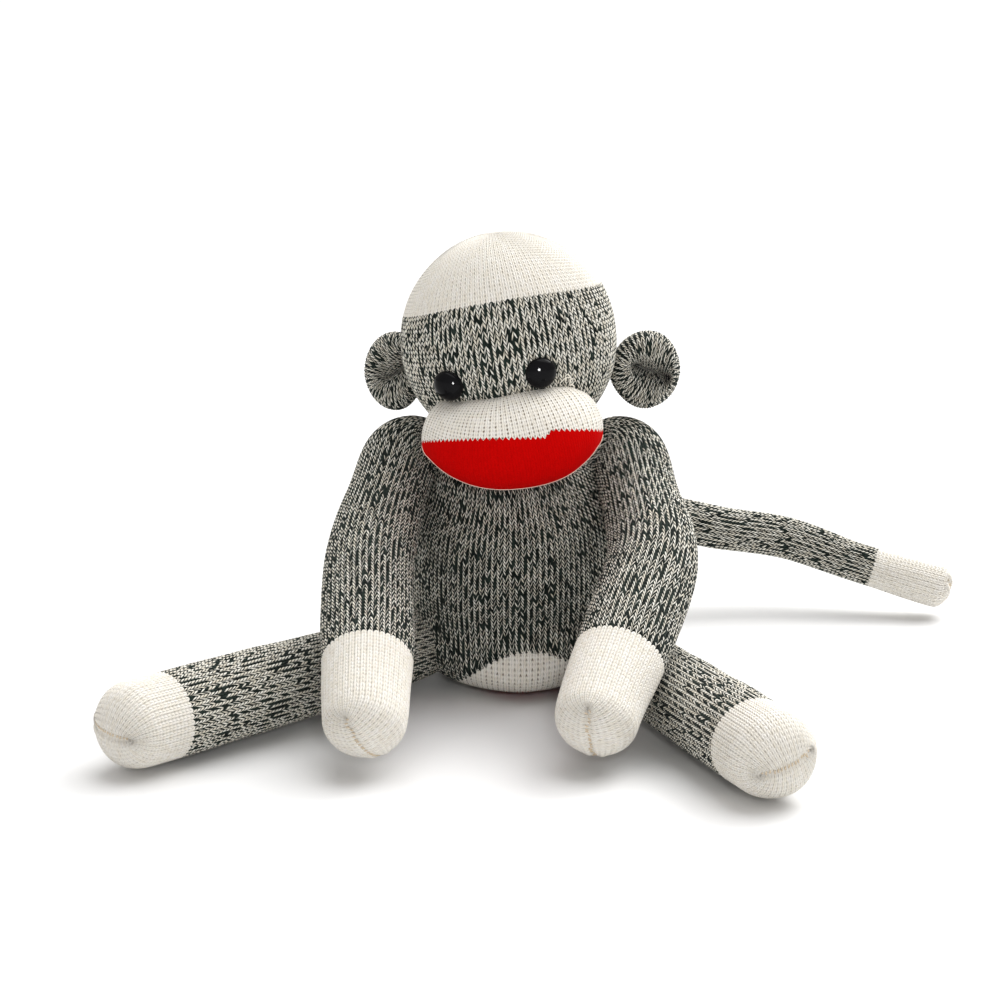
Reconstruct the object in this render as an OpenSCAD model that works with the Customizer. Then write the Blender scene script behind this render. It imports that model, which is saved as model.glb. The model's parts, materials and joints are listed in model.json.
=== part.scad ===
// Sitting monkey sewn from a pair of work socks and filled with soft stuffing.
// Millimetres, +Z up. The monkey faces -Y and its own left side is +X.
// The origin is the middle of the flat patch that it sits on.

/* [Cloth] */
// Thickness of the knit
knit_t = 1.6; // [1:0.1:2.4]
// Room between two pieces that lie against each other
gap = 0.3; // [0.2:0.05:0.6]
// Thickness of the sewing thread
thread_d = 1.2; // [0.8:0.1:2]

/* [Torso] */
// Widest radius of the torso
torso_r = 47; // [42:1:52]
// Height of the torso along its own axis
torso_h = 110; // [106:1:112]
// Height of the widest place above the seat
belly_h = 40; // [34:1:46]
// Forward lean of the torso, in degrees
torso_lean = 6; // [4:1:7]
// Radius of the arch of the cream heel patch under the torso
heel_r = 38; // [34:1:40]

/* [Head] */
// Radius of the head
head_r = 48; // [44:1:50]
// Turn of the head to its left, in degrees
head_turn = -11; // [-15:1:15]
// Tilt of the head to its left, in degrees
head_tilt = -10.5; // [-12:0.5:12]
// Forward nod of the head, in degrees
head_nod = -4.5; // [-10:0.5:5]
// Height of the cream crown's edge above the middle of the head
crown_edge = 16.6; // [10:0.2:24]
// Radius of the ball of stuffing in the neck
neck_r = 20; // [16:1:22]

/* [Face] */
// Width of each eye
eye_d = 13; // [10:0.5:15]
// Angle of each eye from the middle of the face, in degrees
eye_out = 26.5; // [20:0.5:32]
// Angle of the eyes below the middle of the head, in degrees
eye_down = 19; // [14:1:22]
// Half the width of the muzzle
muzzle_half = 38; // [34:1:40]
// Radius of the muzzle's roll
muzzle_r = 20; // [18:0.5:21]
// Distances of the muzzle in front of and below the middle of the head
muzzle_out = 42; // [38:1:44]
muzzle_down = 38; // [34:1:40]
// Tilt of the muzzle to its left, in degrees
muzzle_tilt = -3; // [-6:1:3]
// Height of the lip line above the middle of the muzzle
lip_line = 1; // [-3:0.5:4]

/* [Ears] */
// Radius of each ear
ear_r = 17; // [14:0.5:17.5]
// Thickness of each ear
ear_t = 12; // [9:0.5:13]

/* [Arms] */
// Radius of the arm at the shoulder
arm_r = 17; // [15:0.5:17.5]
// Radius of the arm at the elbow
elbow_r = 17.8; // [16:0.1:18.2]
// Radius of the hand
hand_r = 16.5; // [15:0.5:17]
// Length from shoulder to elbow
upper_arm_l = 63; // [56:1:70]
// Length from elbow to the end of the hand
forearm_l = 111; // [100:1:112]
// Length of the cream hand
hand_l = 60; // [50:1:66]
// Outward angle of the left and the right upper arm, in degrees
left_arm_out = 8; // [0:1:12]
right_arm_out = 10.5; // [0:0.5:14]
// Inward angle of the left and the right forearm, in degrees
left_forearm_in = 21; // [18:1:24]
right_forearm_in = 2; // [0:1:10]
// Downward angle of the upper arms and of the forearms, in degrees
arm_drop = 33; // [28:1:35]
forearm_drop = 31; // [28:1:32]

/* [Legs] */
// Radius of the leg at the hip
leg_r = 16.5; // [15:0.5:17]
// Radius of the leg at the knee
knee_r = 17.5; // [16:0.5:18]
// Radius of the foot
foot_r = 19.5; // [18:0.5:20]
// Length from hip to knee
thigh_l = 80; // [70:1:86]
// Length from knee to the end of the foot
shin_l = 115; // [100:1:120]
// Length of the cream foot
foot_l = 42; // [34:1:50]
// Outward angle of the left and the right leg, in degrees
left_leg_out = 22; // [22:1:35]
right_leg_out = 43; // [30:1:48]

/* [Tail] */
// Radius of the tail where it is sewn on
tail_r = 12; // [10:0.5:13]
// Radius of the tail at its end
tail_tip_r = 9.5; // [8:0.5:11]
// Lengths of the three bends of the tail
tail_l1 = 80; // [70:1:84]
tail_l2 = 66; // [58:1:70]
tail_l3 = 88; // [76:1:92]
// Length of the cream tail tip
tail_tip_l = 43; // [30:1:50]

/* [Hidden] */
$fn = 64;
SIDES = [["left", 1], ["right", -1]];

// Yarns and other materials
marl = [0.36, 0.39, 0.36];
cream = [0.93, 0.89, 0.80];
red = [0.80, 0.03, 0.02];
fill = [0.97, 0.97, 0.95];
thread_cream = [0.86, 0.79, 0.66];
thread_dark = [0.20, 0.22, 0.20];
eye_black = [0.02, 0.02, 0.02];

// Places of the joints
neck_at = [0, -16, 112];
head_at = [-3, -20, 159];
shoulder_at = [[54, -16, 103], [-54, -16, 103]];
hip_at = [[37, -16, 17.4], [-37, -16, 17.4]];
tail_at = [8, 53, 32];
arm_outs = [left_arm_out, right_arm_out];
forearm_ins = [left_forearm_in, right_forearm_in];
leg_outs = [left_leg_out, right_leg_out];
leg_rise = 1;
// Heading from +X towards +Y, and rise, of each bend of the tail
tail_turns = [[36, 9], [3, -4], [-11, -15]];

// Ball in a joint, the cone that lets a joint fold, and small sizes
ball_share = 0.8;
fold_angle = 30;
wad_share = 0.55;
arc_n = 9;
far = 400;
tail_ls = [tail_l1, tail_l2, tail_l3];

// Torso: half the space between the legs, room over the thighs and round a hanging leg, heel
// patch, gathered cloth and seam
crotch_half = 20;
thigh_room = 7;
hip_back = 7;
hang_room = 1.2;
heel_h = 16;
heel_back = 36;
red_h = 3;
gather_r = 5;
gather_l = 30;
gather_foot = [0, -9, 96];
seam_w = 26;

// Head: shanks and washers of the eyes, height of an eye above the cloth, crown seam, and the
// middle of the ball that rounds the muzzle's ends
shank_r = 1.6;
shank_l = 15;
washer_r = 5.5;
washer_t = 1.6;
eye_stand = 0.4;
dome_share = 0.56;
crown_seam_angle = 96;
muzzle_mid = 30;

// Ears: way from the middle of the head, distance, facing, cup depth and radius, gap to the head
ear_dirs = [[61.8, 10, -14], [-55, 16, -17]];
ear_dists = [head_r + ear_r, head_r + ear_r * 0.5];
ear_faces = [[0.15, -0.98, -0.05], [-0.32, -0.94, 0.12]];
ear_cup = 5;
ear_cup_r = 16;
ear_gap = 2.2;
ear_ring_r = 8;

// ---------- geometry helpers ----------

// Direction of a limb that points forward, turned outward and dropped
function limb_dir(side, out, drop) =
    [side * sin(out) * cos(drop), -cos(out) * cos(drop), -sin(drop)];
function tail_dir(i) = let (h = tail_turns[i][0], r = tail_turns[i][1])
    [cos(h) * cos(r), sin(h) * cos(r), sin(r)];

// Points of an arc in a profile: radius r about height s, from angle a0 to a1
function arc_points(r, s, a0, a1) =
    [for (i = [0 : arc_n]) let (a = a0 + (a1 - a0) * i / arc_n) [r * cos(a), s + r * sin(a)]];
// Rounded end of a tube of radius r that ends at height l, h long
function tip_points(r, l, h) =
    [for (i = [0 : arc_n]) let (a = 90 * i / arc_n) [r * cos(a), l - h + h * sin(a)]];
// Radius at height s of a tube that goes from r0 to r1 over the length l
function tube_r(r0, r1, l, s) = r0 + (r1 - r0) * min(s / l, 1);

// Turns +Z into the direction v at the place p
module along(p, v) {
    translate(p)
        rotate([0, acos(v[2] / norm(v)), atan2(v[1], v[0])])
            children();
}

module lathe(points) {
    rotate_extrude() polygon(points);
}

// ---------- parts of a stuffed tube ----------
// Each runs along +Z from its joint at 0. r0 and r1 are the outer radii at its ends.

// Sleeve with a round closed top, open at the far joint
module round_sleeve(r0, r1, l) {
    end_s = l - r1 * tan(fold_angle);
    end_in = l - (r1 - knit_t) * tan(fold_angle);
    lathe(concat(arc_points(r0, 0, -90, 0), [[r1, end_s], [r1 - knit_t, end_in]],
        arc_points(r0 - knit_t, 0, 0, -90)));
}

// Stuffing of that sleeve, with a hollow for the next ball
module round_core(r0, r1, l, ball, wad) {
    a = knit_t + gap;
    re = ball * cos(fold_angle);
    difference() {
        lathe(concat(arc_points(r0 - a, 0, -90, 0),
            [[r1 - a, l - (r1 - a) * tan(fold_angle)], [re, l - re * tan(fold_angle)],
             [0, l - re * tan(fold_angle)]]));
        translate([0, 0, l]) sphere(ball + gap);
        sphere(wad + gap);
    }
}

// Sleeve between two joints, or from a joint to the height where the colour changes
module open_sleeve(r0, r1, l, s_end, cone_end) {
    s0 = r0 * tan(fold_angle);
    s0_in = (r0 - knit_t) * tan(fold_angle);
    r_end = tube_r(r0, r1, l, s_end);
    s1 = cone_end ? l - r_end * tan(fold_angle) : s_end;
    s1_in = cone_end ? l - (r_end - knit_t) * tan(fold_angle) : s_end;
    lathe([[r0 - knit_t, s0_in], [r0, s0], [r_end, s1], [r_end - knit_t, s1_in]]);
}

// Closed end of a sleeve in the second colour
module end_sleeve(r0, r1, l, s_start, tip_h) {
    r_start = tube_r(r0, r1, l, s_start);
    inner = tip_points(r1 - knit_t, l - knit_t, tip_h - knit_t);
    lathe(concat([[r_start, s_start]], tip_points(r1, l, tip_h),
        [for (i = [arc_n : -1 : 0]) inner[i]], [[r_start - knit_t, s_start]]));
}

// Stuffing from a joint ball to a round end
module end_core(r0, r1, l, ball, tip_h) {
    a = knit_t + gap;
    lathe(concat(arc_points(ball, 0, -90, fold_angle), [[r0 - a, (r0 - a) * tan(fold_angle)]],
        tip_points(r1 - a, l - a, tip_h - a)));
}

// Stuffing between a joint ball and the hollow for the next one
module mid_core(r0, r1, l, ball0, ball1) {
    a = knit_t + gap;
    re = ball1 * cos(fold_angle);
    difference() {
        lathe(concat(arc_points(ball0, 0, -90, fold_angle), [[r0 - a, (r0 - a) * tan(fold_angle)]],
            [[r1 - a, l - (r1 - a) * tan(fold_angle)], [re, l - re * tan(fold_angle)],
             [0, l - re * tan(fold_angle)]]));
        translate([0, 0, l]) sphere(ball1 + gap);
    }
}

// ---------- torso ----------

// Radius of the torso at the height s along its axis, less the depth cut below the cloth
function torso_radius(s, cut) =
    let (up = s > belly_h,
        reach = (up ? torso_h - belly_h : belly_h + 12) - cut,
        x = min(1, abs(s - belly_h) / reach))
    (torso_r - cut) * sqrt(1 - pow(x, up ? 4.5 : 2.6));

module torso_form(cut) {
    low = -8;
    top = torso_h - cut;
    n = 26;
    rotate([torso_lean, 0, 0])
        lathe(concat([[0, low]],
            [for (i = [0 : n]) let (s = low + (top - low) * sin(90 * i / n))
                [i == n ? 0 : torso_radius(s, cut), i == n ? top : s]]));
}

// Keeps what is above the height z
module above(z) {
    intersection() {
        children();
        translate([-far / 2, -far / 2, z]) cube(far);
    }
}

// Room that the neck, arms, legs and tail need to move in
module joint_room() {
    translate(neck_at) sphere(neck_r + gap);
    translate(tail_at) sphere(tail_r + gap);
    for (i = [0, 1]) {
        translate(shoulder_at[i]) sphere(arm_r + gap);
        translate(hip_at[i]) sphere(leg_r + hang_room);
        translate(hip_at[i] - [0, 0, far]) cylinder(r = leg_r + hang_room, h = far);
        mirror([i, 0, 0])
            translate([crotch_half, -far + hip_at[0][1] + hip_back, -far / 2])
                cube([far, far, far / 2 + hip_at[0][2] + leg_r + thigh_room]);
    }
}

// Piece of the torso between two depths below the cloth's outer face
module torso_layer(outer, inner) {
    difference() {
        above(outer) torso_form(outer);
        if (inner > 0) above(inner) torso_form(inner);
        joint_room();
    }
}

// The heel of the sock lies under the torso, with an arched front edge and a red lower edge
module heel_zone() {
    translate([0, heel_back, heel_h - heel_r]) rotate([90, 0, 0]) cylinder(r = heel_r, h = far);
}
module red_zone() {
    translate([-far / 2, -far, -far / 2]) cube([far, far, far / 2 + red_h]);
}

module torso_knit() {
    color(marl)
        difference() {
            torso_layer(0, knit_t);
            heel_zone();
        }
}

module seat_cream() {
    color(cream)
        difference() {
            intersection() {
                torso_layer(0, knit_t);
                heel_zone();
            }
            red_zone();
        }
}

module seat_red() {
    color(red)
        intersection() {
            torso_layer(0, knit_t);
            heel_zone();
            red_zone();
        }
}

module torso_stuffing() {
    color(fill) torso_layer(knit_t + gap, 0);
}

// Sewing thread where the cloth is closed between the legs, just above the heel
module crotch_seam() {
    color(thread_dark)
        intersection() {
            difference() {
                torso_form(-thread_d);
                torso_form(0);
            }
            translate([-seam_w / 2, -far, heel_h + thread_d]) cube([seam_w, far, thread_d]);
        }
}

// Gathered cloth that one arm is sewn to, from the torso to the round top of the sleeve
module shoulder_gather(i) {
    color(marl)
        difference() {
            along(shoulder_at[i], gather_way(i)) cylinder(r = gather_r, h = gather_l);
            translate(shoulder_at[i]) sphere(arm_r + gap);
            torso_form(0);
        }
}
function gather_way(i) = [(1 - 2 * i) * gather_foot[0], gather_foot[1], gather_foot[2]] - shoulder_at[i];

// Thread round the root of the tail
module tail_stitching() {
    color(thread_dark)
        difference() {
            intersection() {
                torso_form(-thread_d);
                translate(tail_at) sphere(tail_r + gap + 1.2 * thread_d);
            }
            torso_form(0);
            translate(tail_at) sphere(tail_r + 2 * gap);
        }
}

// ---------- neck and head ----------

// Ball of stuffing that the head turns on
module neck_stuffing() {
    color(fill) translate(neck_at) sphere(neck_r - knit_t - gap);
}

// Cloth round that ball
module neck_knit() {
    color(marl)
        translate(neck_at)
            difference() {
                sphere(neck_r - gap);
                sphere(neck_r - knit_t);
            }
}

module head_frame() {
    translate(head_at) rotate([head_nod, head_tilt, head_turn]) children();
}

module neck_room() {
    translate(neck_at) sphere(neck_r + gap);
}

// Everything on the crown's side of its edge
module crown_zone() {
    translate([-far / 2, -far / 2, crown_edge]) cube(far);
}

// Turns to the outward axis of an eye
module eye_frame(side) {
    rotate([0, 0, side * eye_out]) rotate([90 + eye_down, 0, 0]) children();
}

// Hollow for the shanks and washers behind the cloth
module eye_rooms(r, depth) {
    for (s = SIDES)
        eye_frame(s[1])
            translate([0, 0, head_r - depth]) cylinder(r = r, h = depth + 2);
}

module head_knit() {
    color(marl)
        difference() {
            head_frame()
                difference() {
                    sphere(head_r);
                    sphere(head_r - knit_t);
                    crown_zone();
                    eye_rooms(shank_r + 0.2, 6);
                }
            neck_room();
        }
}

module crown_knit() {
    color(cream)
        head_frame()
            intersection() {
                difference() {
                    sphere(head_r);
                    sphere(head_r - knit_t);
                }
                crown_zone();
            }
}

module head_stuffing() {
    color(fill)
        difference() {
            head_frame()
                difference() {
                    sphere(head_r - knit_t - gap);
                    eye_rooms(washer_r + 0.3, shank_l);
                }
            neck_room();
        }
}

// Thread that closes the crown, in a line over its top
module crown_seam() {
    color(thread_cream)
        head_frame()
            rotate([12, 0, 0]) rotate([90, 0, 0]) rotate([0, 0, 90 - crown_seam_angle / 2])
                rotate_extrude(angle = crown_seam_angle)
                    translate([head_r + thread_d / 2 + 0.1, 0]) circle(d = thread_d);
}

// One plastic eye: a domed button on a shank
module eye(side) {
    dome = eye_d * dome_share;
    color(eye_black)
        head_frame() eye_frame(side) {
            difference() {
                translate([0, 0, head_r - 2.4]) sphere(dome);
                translate([0, 0, head_r + eye_stand - 20]) cylinder(r = 20, h = 20);
            }
            translate([0, 0, head_r - shank_l + 0.5])
                cylinder(r = shank_r, h = shank_l + eye_stand);
        }
}

// Locking washers on the two shanks, inside the head
module eye_washers() {
    color(fill)
        head_frame()
            for (s = SIDES)
                eye_frame(s[1])
                    translate([0, 0, head_r - knit_t - washer_t - 0.7])
                        difference() {
                            cylinder(r = washer_r, h = washer_t);
                            translate([0, 0, -1]) cylinder(r = shank_r + 0.02, h = washer_t + 2);
                        }
}

// The muzzle is a roll bent round the face, less the depth cut below its outer face
module muzzle_form(cut) {
    translate(head_at) rotate([0, muzzle_tilt, 0]) translate([0, 0, -muzzle_down])
        intersection() {
            rotate_extrude() translate([muzzle_out, 0]) circle(muzzle_r - cut);
            translate([0, -muzzle_mid, 0]) sphere(muzzle_half - cut);
        }
}

// Everything below the lip line
module lip_zone() {
    translate(head_at) rotate([0, muzzle_tilt, 0])
        translate([-far / 2, -far / 2, lip_line - muzzle_down - far]) cube(far);
}

module muzzle_skin() {
    difference() {
        muzzle_form(0);
        muzzle_form(knit_t);
        translate(head_at) sphere(head_r);
        eye_clearance();
    }
}

module muzzle_cream() {
    color(cream)
        difference() {
            muzzle_skin();
            lip_zone();
        }
}

module muzzle_red() {
    color(red)
        intersection() {
            muzzle_skin();
            lip_zone();
        }
}

module muzzle_stuffing() {
    color(fill)
        difference() {
            muzzle_form(knit_t + gap);
            translate(head_at) sphere(head_r + gap);
            eye_clearance();
        }
}

// Thread that holds the muzzle's edge to the face
module muzzle_stitching() {
    color(thread_cream)
        difference() {
            intersection() {
                muzzle_form(-thread_d);
                translate(head_at) sphere(head_r + thread_d);
            }
            muzzle_form(0);
            translate(head_at) sphere(head_r);
            neck_room();
            eye_clearance();
        }
}

// Space that the eyes take above the muzzle's edge
module eye_clearance() {
    head_frame()
        for (s = SIDES)
            eye_frame(s[1]) cylinder(r = eye_d * dome_share + gap, h = far / 4);
}

// ---------- ears ----------

module ear_frame(i) {
    d = ear_dirs[i] / norm(ear_dirs[i]);
    along(head_at + ear_dists[i] * d, ear_faces[i]) children();
}

// Cupped disc: a lens less the depth cut, hollowed in front
module ear_form(cut) {
    r = ear_r - cut;
    h = ear_t / 2 - cut;
    lathe(concat([[0, -h]], [for (i = [1 : 2 * arc_n - 1]) let (a = -90 + 90 * i / arc_n)
        [r * pow(cos(a), 0.7), h * sin(a)]], [[0, h]]));
}

module ear_hollow(extra) {
    translate([0, 0, ear_t / 2 + ear_cup_r - ear_cup]) sphere(ear_cup_r + extra);
}

module head_clearance() {
    translate(head_at) sphere(head_r + ear_gap);
}

module ear_knit(i) {
    color(marl)
        difference() {
            ear_frame(i)
                difference() {
                    ear_form(0);
                    ear_hollow(0);
                    difference() {
                        ear_form(knit_t);
                        ear_hollow(knit_t);
                    }
                }
            head_clearance();
        }
}

module ear_stuffing(i) {
    color(fill)
        difference() {
            ear_frame(i)
                difference() {
                    ear_form(knit_t + gap);
                    ear_hollow(knit_t + gap);
                }
            head_clearance();
        }
}

// Ring of thread on the head, under the ear's root
module ear_stitching(i) {
    lift = head_r + thread_d / 2 + 0.05;
    color(thread_dark)
        along(head_at, ear_dirs[i])
            translate([0, 0, sqrt(lift * lift - ear_ring_r * ear_ring_r)])
                rotate_extrude() translate([ear_ring_r, 0]) circle(d = thread_d);
}

// ---------- arms and legs ----------

// Places and directions of the two bones of each limb
function arm_up(i) = limb_dir(1 - 2 * i, arm_outs[i], arm_drop);
function arm_low(i) = limb_dir(1 - 2 * i, -forearm_ins[i], forearm_drop);
function elbow_at(i) = shoulder_at[i] + upper_arm_l * arm_up(i);
function leg_way(i) = limb_dir(1 - 2 * i, leg_outs[i], -leg_rise);
function knee_at(i) = hip_at[i] + thigh_l * leg_way(i);

module shoulder_stuffing(i) {
    color(fill) translate(shoulder_at[i]) sphere(arm_r * wad_share);
}

module upper_arm_knit(i) {
    color(marl) along(shoulder_at[i], arm_up(i)) round_sleeve(arm_r, elbow_r, upper_arm_l);
}

module upper_arm_stuffing(i) {
    color(fill)
        along(shoulder_at[i], arm_up(i))
            round_core(arm_r, elbow_r, upper_arm_l, elbow_r * ball_share, arm_r * wad_share);
}

module forearm_knit(i) {
    color(marl)
        along(elbow_at(i), arm_low(i))
            open_sleeve(elbow_r, hand_r, forearm_l, forearm_l - hand_l, false);
}

module forearm_stuffing(i) {
    color(fill)
        along(elbow_at(i), arm_low(i))
            end_core(elbow_r, hand_r, forearm_l, elbow_r * ball_share, hand_r);
}

module hand_knit(i) {
    color(cream)
        along(elbow_at(i), arm_low(i))
            end_sleeve(elbow_r, hand_r, forearm_l, forearm_l - hand_l, hand_r);
}

module hip_stuffing(i) {
    color(fill) translate(hip_at[i]) sphere(leg_r * wad_share);
}

module thigh_knit(i) {
    color(marl) along(hip_at[i], leg_way(i)) round_sleeve(leg_r, knee_r, thigh_l);
}

module thigh_stuffing(i) {
    color(fill)
        along(hip_at[i], leg_way(i))
            round_core(leg_r, knee_r, thigh_l, knee_r * ball_share, leg_r * wad_share);
}

module shin_knit(i) {
    color(marl)
        along(knee_at(i), leg_way(i))
            open_sleeve(knee_r, foot_r, shin_l, shin_l - foot_l, false);
}

module shin_stuffing(i) {
    color(fill)
        along(knee_at(i), leg_way(i))
            end_core(knee_r, foot_r, shin_l, knee_r * ball_share, foot_r * 0.8);
}

module foot_knit(i) {
    color(cream)
        along(knee_at(i), leg_way(i))
            end_sleeve(knee_r, foot_r, shin_l, shin_l - foot_l, foot_r * 0.8);
}

// ---------- tail ----------

function tail_point(n) = n == 0 ? tail_at : tail_point(n - 1) + tail_ls[n - 1] * tail_dir(n - 1);

module tail_frame(n) {
    along(tail_point(n), tail_dir(n)) children();
}

module tail_root_stuffing() {
    color(fill) translate(tail_at) sphere(tail_r * wad_share);
}

module tail_base_knit() {
    color(marl) tail_frame(0) round_sleeve(tail_r, tail_r, tail_l1);
}

module tail_base_stuffing() {
    color(fill)
        tail_frame(0)
            round_core(tail_r, tail_r, tail_l1, tail_r * ball_share, tail_r * wad_share);
}

module tail_mid_knit() {
    color(marl) tail_frame(1) open_sleeve(tail_r, tail_r, tail_l2, tail_l2, true);
}

module tail_mid_stuffing() {
    color(fill)
        tail_frame(1) mid_core(tail_r, tail_r, tail_l2, tail_r * ball_share, tail_r * ball_share);
}

module tail_end_knit() {
    color(marl)
        tail_frame(2) open_sleeve(tail_r, tail_tip_r, tail_l3, tail_l3 - tail_tip_l, false);
}

module tail_end_stuffing() {
    color(fill)
        tail_frame(2)
            end_core(tail_r, tail_tip_r, tail_l3, tail_r * ball_share, tail_tip_r);
}

module tail_tip_knit() {
    color(cream)
        tail_frame(2)
            end_sleeve(tail_r, tail_tip_r, tail_l3, tail_l3 - tail_tip_l, tail_tip_r);
}

// ---------- what is drawn ----------

torso_knit();
seat_cream();
seat_red();
torso_stuffing();
crotch_seam();
shoulder_gather(0);  // shoulder_gather_left
shoulder_gather(1);  // shoulder_gather_right
tail_stitching();
neck_stuffing();
neck_knit();
head_knit();
crown_knit();
head_stuffing();
crown_seam();
muzzle_cream();
muzzle_red();
muzzle_stuffing();
muzzle_stitching();
eye(1);  // eye_left
eye(-1);  // eye_right
eye_washers();
ear_knit(0);  // ear_knit_left
ear_knit(1);  // ear_knit_right
ear_stuffing(0);  // ear_stuffing_left
ear_stuffing(1);  // ear_stuffing_right
ear_stitching(0);  // ear_stitching_left
ear_stitching(1);  // ear_stitching_right
shoulder_stuffing(0);  // shoulder_stuffing_left
upper_arm_knit(0);  // upper_arm_knit_left
upper_arm_stuffing(0);  // upper_arm_stuffing_left
forearm_knit(0);  // forearm_knit_left
forearm_stuffing(0);  // forearm_stuffing_left
hand_knit(0);  // hand_knit_left
shoulder_stuffing(1);  // shoulder_stuffing_right
upper_arm_knit(1);  // upper_arm_knit_right
upper_arm_stuffing(1);  // upper_arm_stuffing_right
forearm_knit(1);  // forearm_knit_right
forearm_stuffing(1);  // forearm_stuffing_right
hand_knit(1);  // hand_knit_right
hip_stuffing(0);  // hip_stuffing_left
thigh_knit(0);  // thigh_knit_left
thigh_stuffing(0);  // thigh_stuffing_left
shin_knit(0);  // shin_knit_left
shin_stuffing(0);  // shin_stuffing_left
foot_knit(0);  // foot_knit_left
hip_stuffing(1);  // hip_stuffing_right
thigh_knit(1);  // thigh_knit_right
thigh_stuffing(1);  // thigh_stuffing_right
shin_knit(1);  // shin_knit_right
shin_stuffing(1);  // shin_stuffing_right
foot_knit(1);  // foot_knit_right
tail_root_stuffing();
tail_base_knit();
tail_base_stuffing();
tail_mid_knit();
tail_mid_stuffing();
tail_end_knit();
tail_end_stuffing();
tail_tip_knit();
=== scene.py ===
import json
import math
import random

import bmesh
import bpy
import numpy as np
from mathutils import Matrix, Vector, noise


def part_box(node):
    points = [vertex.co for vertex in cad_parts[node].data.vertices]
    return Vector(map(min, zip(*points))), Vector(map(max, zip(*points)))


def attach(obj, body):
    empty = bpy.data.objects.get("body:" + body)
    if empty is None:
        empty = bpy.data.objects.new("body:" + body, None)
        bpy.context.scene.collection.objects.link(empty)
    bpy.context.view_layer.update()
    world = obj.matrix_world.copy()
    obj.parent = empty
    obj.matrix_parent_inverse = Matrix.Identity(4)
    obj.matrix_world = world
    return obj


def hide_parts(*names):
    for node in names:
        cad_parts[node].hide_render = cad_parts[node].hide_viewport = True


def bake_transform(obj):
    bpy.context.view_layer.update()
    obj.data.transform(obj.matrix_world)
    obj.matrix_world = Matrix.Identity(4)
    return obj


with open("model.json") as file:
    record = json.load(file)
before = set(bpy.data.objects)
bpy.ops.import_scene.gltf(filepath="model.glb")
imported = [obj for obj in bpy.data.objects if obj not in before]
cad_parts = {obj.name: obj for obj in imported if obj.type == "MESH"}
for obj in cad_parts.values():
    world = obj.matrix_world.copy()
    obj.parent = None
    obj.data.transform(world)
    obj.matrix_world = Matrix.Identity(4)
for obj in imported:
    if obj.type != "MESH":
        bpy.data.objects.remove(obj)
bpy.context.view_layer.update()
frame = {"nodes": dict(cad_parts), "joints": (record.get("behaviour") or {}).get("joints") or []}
scene = bpy.context.scene
mm = 0.001
jointAt = {joint["name"]: Vector(joint["pos_m"]) / mm for joint in frame["joints"]}
sideNames = {"left": 1, "right": -1}


def nodeBox(node):
    low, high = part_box(node)
    return low / mm, high / mm


def selectOnly(piece):
    bpy.ops.object.select_all(action="DESELECT")
    piece.select_set(True)
    bpy.context.view_layer.objects.active = piece


# the camera, the white table and the soft light
print("stage: camera, floor and light")
viewValues = {
    "place": (0.0, -1.0968, 0.3458),
    "lookAt": (-0.007, 0.0, 0.0808),
    "lens": 88.2,
    "floorTone": (0.80, 0.805, 0.81),
    "floorWide": 80,
    "worldTone": (1.0, 0.972, 0.945),
    "worldStrength": 0.56,
    "overheadFrom": (0.35, 0.35, 1.0),
    "overheadStrength": 2.95,
    "overheadSpread": 70,  # in degrees; wide, so that shadows are soft
}


def turnedTowards(place, target):
    return (Vector(target) - Vector(place)).to_track_quat("-Z", "Y").to_euler()


def placeCamera(values):
    camera = bpy.data.objects.new("camera", bpy.data.cameras.new("camera"))
    scene.collection.objects.link(camera)
    camera.location = values["place"]
    camera.rotation_euler = turnedTowards(values["place"], values["lookAt"])
    camera.data.lens = values["lens"]
    camera.data.sensor_width = 36
    camera.data.clip_start = 0.01
    scene.camera = camera
    scene.view_settings.view_transform = "Standard"


def addSoftbox(name, place, target, size, power, tone=(1, 1, 1)):
    lamp = bpy.data.lights.new(name, "AREA")
    lamp.shape = "DISK"
    lamp.size = size
    lamp.energy = power
    lamp.color = tone
    box = bpy.data.objects.new(name, lamp)
    scene.collection.objects.link(box)
    box.location = place
    box.rotation_euler = turnedTowards(place, target)
    return box


def addOverhead(values):
    overhead = bpy.data.objects.new("lamp_overhead", bpy.data.lights.new("lamp_overhead", "SUN"))
    scene.collection.objects.link(overhead)
    overhead.data.energy = values["overheadStrength"]
    overhead.data.angle = math.radians(values["overheadSpread"])
    overhead.rotation_euler = turnedTowards(values["overheadFrom"], (0, 0, 0))


def fillWorld(values):
    world = bpy.data.worlds.new("studio")
    scene.world = world
    world.use_nodes = True
    sky = world.node_tree.nodes["Background"]
    sky.inputs["Color"].default_value = (*values["worldTone"], 1)
    sky.inputs["Strength"].default_value = values["worldStrength"]


def makeStage(values):
    bpy.ops.object.select_all(action="DESELECT")
    bpy.ops.mesh.primitive_plane_add(size=values["floorWide"], location=(0, 0, -0.0004))
    floor = bpy.context.object
    floor.name = "studio_floor"
    paper = bpy.data.materials.new("floor_paper")
    paper.use_nodes = True
    shader = paper.node_tree.nodes["Principled BSDF"]
    shader.inputs["Base Color"].default_value = (*values["floorTone"], 1)
    shader.inputs["Roughness"].default_value = 0.6
    shader.inputs["Specular IOR Level"].default_value = 0.2
    floor.data.materials.append(paper)


placeCamera(viewValues)
addSoftbox("lamp_front", (0.08, -1.15, 0.50), (0, 0, 0.1), 0.11, 1.7)
addSoftbox("lamp_window", (0.75, 0.55, 1.1), (0, 0, 0.1), 0.7, 7.0, (1.0, 0.99, 0.97))
addOverhead(viewValues)
fillWorld(viewValues)
makeStage(viewValues)


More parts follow.
